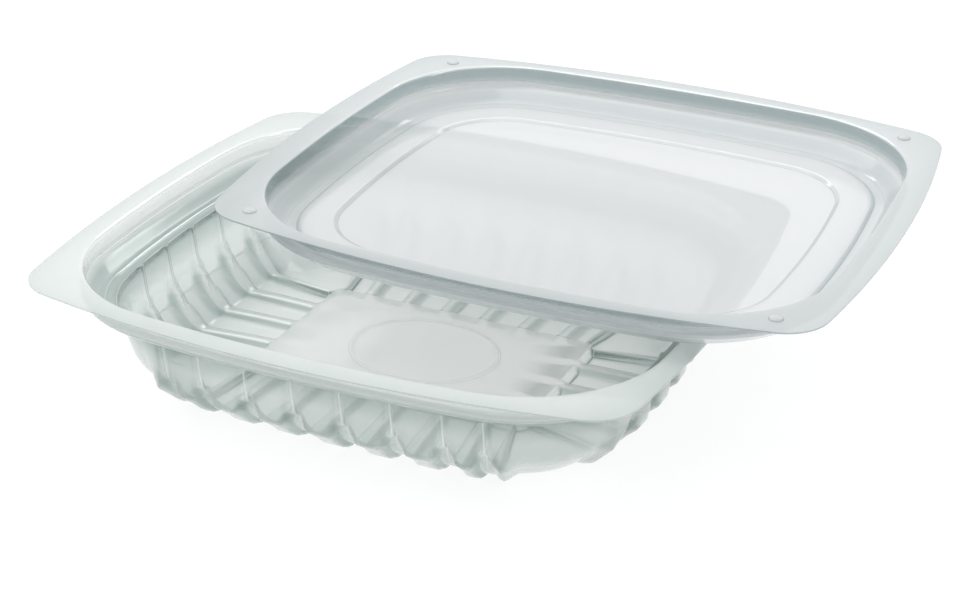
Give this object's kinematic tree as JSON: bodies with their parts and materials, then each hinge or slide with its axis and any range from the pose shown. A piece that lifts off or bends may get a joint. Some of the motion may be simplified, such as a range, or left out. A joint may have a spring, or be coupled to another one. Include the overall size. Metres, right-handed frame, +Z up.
{
  "type": "takeaway_meal_container",
  "caption": "Clear plastic takeaway meal container: an oblong tray with a ribbed floor, fluted walls and a wide flange, and its plug-fit lid laid loosely across it",
  "frame": {"origin": "middle, in plan, of the tray and the lid lying on it, on the plane the tray stands on", "axes": "+X along the long sides, to the right as seen from the front; +Y to the back; +Z up"},
  "size_m": [0.2249, 0.2104, 0.0519],
  "materials": {
    "tray_plastic": "clear pressed plastic sheet, glossy, faintly grey-green",
    "lid_plastic": "clear pressed plastic sheet, glossy, faintly grey-blue"
  },
  "bodies": {
    "root": {"tray": "tray_plastic", "lid": "lid_plastic"}
  },
  "joints": []
}
